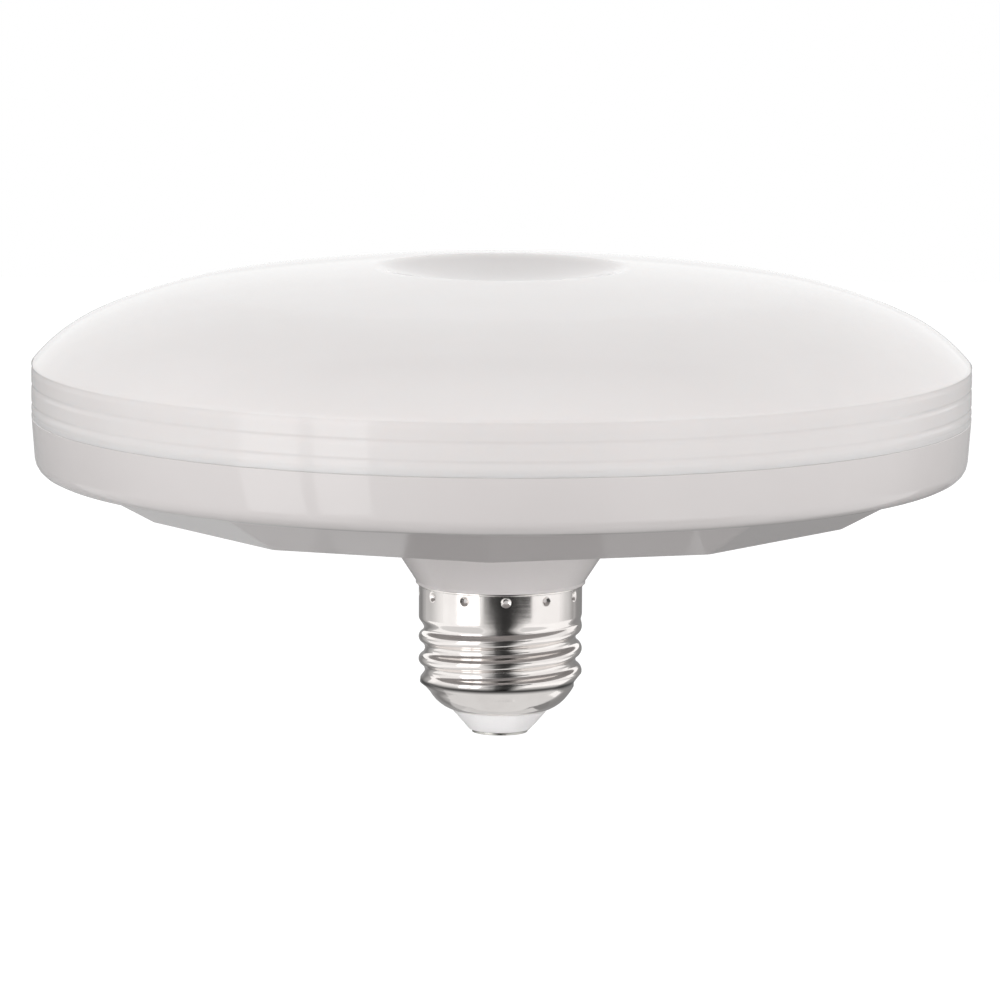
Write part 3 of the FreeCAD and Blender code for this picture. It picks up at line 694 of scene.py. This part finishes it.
def make_materials():
    return {
        "opal_plastic": opal(),
        "housing_plastic": moulded_plastic(
            "housing_plastic", colour(219, 214, 213), colour(224, 219, 218), 0.05, 0.001),
        "cap_nickel": nickel(),
        "insulator_plastic": moulded_plastic(
            "insulator_plastic", colour(244, 242, 241), colour(248, 246, 246), 0.3, 0.004),
        "contact_metal": rolled_metal(
            "contact_metal", colour(170, 168, 164), colour(205, 203, 198), 0.22, 0.36,
            500, 0.004, (1, 1, 1)),
        "spreader_aluminium": rolled_metal(
            "spreader_aluminium", colour(190, 191, 193), colour(214, 215, 217), 0.3, 0.42,
            400, 0.004, (12, 1, 1)),
        "board_white": moulded_plastic(
            "board_white", colour(232, 233, 232), colour(241, 242, 240), 0.35, 0.004),
        "led_package": moulded_plastic(
            "led_package", colour(226, 196, 96), colour(238, 214, 124), 0.3, 0.003),
        "terminal_plastic": moulded_plastic(
            "terminal_plastic", colour(226, 226, 222), colour(236, 236, 232), 0.4, 0.005),
        "screw_steel": rolled_metal(
            "screw_steel", colour(160, 161, 163), colour(192, 193, 195), 0.25, 0.38,
            700, 0.004, (1, 1, 4)),
        "board_green": moulded_plastic(
            "board_green", colour(28, 92, 52), colour(40, 112, 66), 0.34, 0.01),
        "capacitor_sleeve": moulded_plastic(
            "capacitor_sleeve", colour(30, 36, 62), colour(40, 47, 76), 0.3, 0.008),
        "film_case": moulded_plastic(
            "film_case", colour(176, 58, 34), colour(196, 70, 42), 0.3, 0.006),
        "ferrite": moulded_plastic(
            "ferrite", colour(44, 44, 46), colour(62, 62, 64), 0.62, 0.02),
        "copper_wire": rolled_metal(
            "copper_wire", colour(184, 96, 52), colour(214, 124, 74), 0.22, 0.34,
            900, 0.02, (1, 9, 1)),
        "chip_black": moulded_plastic(
            "chip_black", colour(28, 28, 30), colour(40, 40, 42), 0.5, 0.01),
        "resistor_body": moulded_plastic(
            "resistor_body", colour(176, 190, 196), colour(194, 206, 211), 0.4, 0.006),
        "lead_live": moulded_plastic(
            "lead_live", colour(164, 30, 26), colour(186, 40, 34), 0.38, 0.005),
        "lead_neutral": moulded_plastic(
            "lead_neutral", colour(30, 30, 32), colour(44, 44, 46), 0.38, 0.005),
    }


def dress_nodes(materials):
    """Each CAD node gets its record slot's material."""
    for part in frame["record"]["subparts"]:
        shown = frame["nodes"][part["node"]]
        shown.data.materials.clear()
        shown.data.materials.append(materials[part["material_slot"]])


# Floor, camera and light
def seen_directly(tree):
    """1 for rays from the camera, from a mirror and through glass, and 0 for soft light."""
    path = tree.nodes.new("ShaderNodeLightPath")
    total = path.outputs["Is Camera Ray"]
    for kind in ("Is Glossy Ray", "Is Transmission Ray"):
        adder = tree.nodes.new("ShaderNodeMath")
        adder.operation = "ADD"
        adder.use_clamp = True
        tree.links.new(total, adder.inputs[0])
        tree.links.new(path.outputs[kind], adder.inputs[1])
        total = adder.outputs[0]
    return total


def floor_paint():
    """Pale matt paint. What is seen of it is lifted to white by a glow, which keeps the shadow."""
    material, shader = new_material("floor_paint", (0.28, 0.28, 0.28, 1), 0.9)
    tree = material.node_tree
    speckle = object_noise(material, 3, 2)
    vary_colour(material, shader, speckle, (0.27, 0.27, 0.27, 1), (0.29, 0.29, 0.29, 1))
    glow = tree.nodes.new("ShaderNodeEmission")
    glow.inputs["Strength"].default_value = 0.85
    lifted = tree.nodes.new("ShaderNodeAddShader")
    tree.links.new(shader.outputs[0], lifted.inputs[0])
    tree.links.new(glow.outputs[0], lifted.inputs[1])
    mix = tree.nodes.new("ShaderNodeMixShader")
    tree.links.new(seen_directly(tree), mix.inputs[0])
    tree.links.new(shader.outputs[0], mix.inputs[1])
    tree.links.new(lifted.outputs[0], mix.inputs[2])
    tree.links.new(mix.outputs[0], tree.nodes["Material Output"].inputs["Surface"])
    return material


def make_floor():
    """Flat floor well below the lamp, which hangs from its cap in use and stands on nothing."""
    half = 6.0
    floor_drop = 0.6
    mesh = bpy.data.meshes.new("floor")
    mesh.from_pydata([(-half, -half, -floor_drop), (half, -half, -floor_drop),
                      (half, half, -floor_drop), (-half, half, -floor_drop)], [], [(0, 1, 2, 3)])
    floor = bpy.data.objects.new("floor", mesh)
    bpy.context.scene.collection.objects.link(floor)
    floor.data.materials.append(floor_paint())


def make_camera():
    """The photograph's view, which looks down by 8 degrees from 1.2 m."""
    focal_px = 7569.93
    frame_px = 1000
    pitch_deg = 8.0575
    roll_deg = 0.3112
    distance_mm = 1200
    above_seam_mm = 156
    object_right_px = 0.99
    data = bpy.data.cameras.new("camera")
    data.sensor_width = 36
    data.lens = focal_px * data.sensor_width / frame_px
    data.clip_end = 50
    camera = bpy.data.objects.new("camera", data)
    bpy.context.scene.collection.objects.link(camera)
    left = object_right_px * distance_mm / focal_px
    camera.location = (-left * MM, -distance_mm * MM, (seam_z + above_seam_mm) * MM)
    turn = Euler((math.radians(90 - pitch_deg), 0, 0)).to_matrix()
    roll = Euler((0, 0, math.radians(roll_deg))).to_matrix()
    camera.rotation_euler = (turn @ roll).to_euler()
    bpy.context.scene.camera = camera


def softbox(name, place, aim, size, watts):
    """Rectangular area light at a place, in metres, turned to face a point."""
    data = bpy.data.lights.new(name, "AREA")
    data.shape = "RECTANGLE"
    data.size, data.size_y = size
    data.energy = watts
    lamp = bpy.data.objects.new(name, data)
    bpy.context.scene.collection.objects.link(lamp)
    lamp.location = place
    lamp.rotation_euler = (Vector(aim) - Vector(place)).to_track_quat("-Z", "Y").to_euler()
    return lamp


def by_azimuth(azimuth_deg, reach, height):
    """Place at an angle to the right of the camera's side, in metres from the lamp's axis."""
    a = math.radians(azimuth_deg)
    return (reach * math.sin(a), -reach * math.cos(a), height)


def width_of(from_deg, to_deg, reach):
    return 2 * reach * math.tan(math.radians((to_deg - from_deg) / 2))


def tip_spot():
    """A narrow low spot on the cap's end, as a snoot gives."""
    aim = Vector((0, 0, -0.004))
    data = bpy.data.lights.new("tip_spot", "SPOT")
    data.energy = 13
    data.spot_size = math.radians(3.6)
    data.spot_blend = 0.6
    data.shadow_soft_size = 0.03
    lamp = bpy.data.objects.new("tip_spot", data)
    bpy.context.scene.collection.objects.link(lamp)
    lamp.location = by_azimuth(-10, 0.5, -0.12)
    lamp.rotation_euler = (aim - lamp.location).to_track_quat("-Z", "Y").to_euler()
    lamp.visible_glossy = False


def make_lights():
    """An overhead box, soft fills in front and at both sides, and a tall two-pane box at left."""
    aim = (0, 0, 0.03)
    fills = (("top_box", (0, 0, 1.5), (2.4, 2.4), 2.5),
             ("front_fill", by_azimuth(0, 1.6, 0.08), (1.8, 0.5), 4.5),
             ("low_fill", by_azimuth(0, 0.5, -0.15), (0.9, 0.08), 0.3),
             ("right_fill", by_azimuth(80, 1.6, 0.0), (1.4, 0.64), 7),
             ("left_fill", by_azimuth(-75, 1.6, 0.15), (1.4, 0.64), 1.6))
    for name, place, size, watts in fills:
        softbox(name, place, aim, size, watts).visible_glossy = False
    tip_spot()
    pane_reach = 0.6
    pane_h = 0.5
    pane_z = 0.065
    pane_watts_per_m2 = 4.0
    for name, from_deg, to_deg in (("left_pane", -62, -46.5), ("inner_pane", -43, -30)):
        width = width_of(from_deg, to_deg, pane_reach)
        place = by_azimuth((from_deg + to_deg) / 2, pane_reach, pane_z)
        watts = pane_watts_per_m2 * width * pane_h
        softbox(name, place, (0, 0, pane_z), (width, pane_h), watts)


def mirror_card(name, corners, faces, tones):
    """Card that only mirrors see: its glow puts painted reflections of the studio's grey and dark
    shapes into the gloss.

    tones are (azimuth, brightness) pairs, and the card's glow runs smoothly between them.
    """
    mesh = bpy.data.meshes.new(name)
    mesh.from_pydata(corners, [], faces)
    card = bpy.data.objects.new(name, mesh)
    bpy.context.scene.collection.objects.link(card)
    # Painted reflection: a black card whose own glow is seen only in glossy reflections.
    material, shader = new_material(name + "_reflection_glow", (0, 0, 0, 1), 1.0, Specular_IOR_Level=0,
                                    Emission_Strength=1.0)
    place = node(material, "ShaderNodeTexCoord")
    split = node(material, "ShaderNodeSeparateXYZ")
    turned_y = node(material, "ShaderNodeMath", operation="MULTIPLY")
    turned_y.inputs[1].default_value = -1
    azimuth = node(material, "ShaderNodeMath", operation="ARCTAN2")
    share = node(material, "ShaderNodeMapRange")
    share.inputs["From Min"].default_value = -math.pi
    share.inputs["From Max"].default_value = math.pi
    ramp = node(material, "ShaderNodeValToRGB")
    stops = ramp.color_ramp
    stops.interpolation = "EASE"
    while len(stops.elements) < len(tones):
        stops.elements.new(1.0)
    for stop, (angle_deg, grey) in zip(stops.elements, tones):
        stop.position = angle_deg / 360 + 0.5
        stop.color = (grey, grey, grey, 1)
    link(material, place.outputs["Object"], split.inputs[0])
    link(material, split.outputs["Y"], turned_y.inputs[0])
    link(material, split.outputs["X"], azimuth.inputs[0])
    link(material, turned_y.outputs[0], azimuth.inputs[1])
    link(material, azimuth.outputs[0], share.inputs["Value"])
    link(material, share.outputs["Result"], ramp.inputs["Fac"])
    link(material, ramp.outputs["Color"], shader.inputs["Emission Color"])
    card.data.materials.append(material)
    card.visible_camera = False
    card.visible_diffuse = False
    card.visible_shadow = False
    card.visible_transmission = False


def bent_card(name, near, far, tones):
    """Card along an arc round the lamp, from a near (reach, height) edge to a far one."""
    count = 33
    angles = np.linspace(tones[0][0], tones[-1][0], count)
    corners = [by_azimuth(a, *near) for a in angles] + [by_azimuth(a, *far) for a in angles]
    faces = [(i, i + 1, i + count + 1, i + count) for i in range(count - 1)]
    mirror_card(name, corners, faces, tones)


def flat_card(name, low, high, z, grey):
    """Level rectangle of one tone between a low and a high (x, y) corner, in metres."""
    corners = [(low[0], low[1], z), (high[0], low[1], z), (high[0], high[1], z),
               (low[0], high[1], z)]
    mirror_card(name, corners, [(0, 1, 2, 3)], ((-180, grey), (180, grey)))


def make_cards():
    """Shapes that the nickel and the glossy plastic mirror.

    They stand far out and close round the cap, or lie level under the lamp.
    """
    far = 0.8
    close = 0.1
    closest = 0.045
    low_z = -0.19
    back_z = -0.192
    under_z = -0.194
    front = ((-34, 1.0), (-22, 0.75), (-13, 0.45), (-5, 0.1), (6, 0.04), (14, 0.05), (21, 0.25),
             (28, 0.65), (37, 1.0))
    near = ((-26, 1.0), (-19, 0.3), (-11, 0.07), (4, 0.03), (20, 0.04), (32, 0.08), (39, 0.14),
            (44, 1.0))
    right = ((92, 1.0), (108, 0.72), (124, 0.42), (172, 0.45))
    left = ((-172, 0.45), (-150, 0.45), (-118, 0.6), (-88, 1.0))
    cap_left = ((-176, 0.42), (-154, 0.34), (-134, 0.24), (-117, 0.48), (-112, 0.65))
    cap_right = ((112, 0.5), (123, 0.3), (144, 0.27), (176, 0.36))
    bent_card("front_card", (far, low_z), (far, 1.2), front)
    bent_card("front_floor_card", (close, low_z), (far, low_z), front)
    bent_card("skirt_card", (close, 0.006), (close, 0.024), near)
    bent_card("cap_left_card", (closest, -0.035), (closest, 0.0215), cap_left)
    bent_card("cap_right_card", (closest, -0.035), (closest, 0.0215), cap_right)
    bent_card("right_card", (far, low_z), (far, 0.02), right)
    bent_card("left_card", (far, low_z), (far, 0.02), left)
    bent_card("under_card", (0.001, under_z), (0.25, under_z), ((-180, 0.78), (180, 0.78)))
    bent_card("right_back_card", (close, back_z), (1.0, back_z), ((125, 0.25), (180, 0.25)))
    bent_card("left_back_card", (close, back_z), (1.0, back_z), ((-180, 0.6), (-130, 0.6)))
    bent_card("backdrop_glow", (2.0, 0.15), (2.0, 2.6), ((110, 1.15), (180, 1.15)))
    bent_card("backdrop_glow_left", (2.0, 0.15), (2.0, 2.6), ((-180, 1.15), (-110, 1.15)))
    flat_card("neck_strip", (-0.0515, 0.12), (0.047, 0.25), low_z, 0.05)
    flat_card("mouth_card", (-0.01, -0.004), (0.01, 0.005), -0.006, 0.7)


def make_world():
    """Soft even light, and plain white where the camera, a mirror or glass sees past the lamp."""
    world = bpy.data.worlds.new("studio")
    world.use_nodes = True
    bpy.context.scene.world = world
    tree = world.node_tree
    fill = tree.nodes["Background"]
    fill.inputs["Color"].default_value = (1, 1, 1, 1)
    fill.inputs["Strength"].default_value = 0.7
    white = tree.nodes.new("ShaderNodeBackground")
    white.inputs["Color"].default_value = (1, 1, 1, 1)
    white.inputs["Strength"].default_value = 1.0
    mix = tree.nodes.new("ShaderNodeMixShader")
    tree.links.new(seen_directly(tree), mix.inputs[0])
    tree.links.new(fill.outputs[0], mix.inputs[1])
    tree.links.new(white.outputs[0], mix.inputs[2])
    tree.links.new(mix.outputs[0], tree.nodes["World Output"].inputs["Surface"])


def main():
    materials = make_materials()
    dress_nodes(materials)
    for make, slot in ((make_diffuser, "opal_plastic"), (make_housing, "housing_plastic"),
                       (make_shell, "cap_nickel"), (make_insulator, "insulator_plastic"),
                       (make_contact, "contact_metal")):
        piece = make()
        piece.data.materials.append(materials[slot])
        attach(piece, "root")
    make_floor()
    make_camera()
    make_lights()
    make_cards()
    make_world()
    bpy.context.scene.view_settings.view_transform = "Standard"


main()
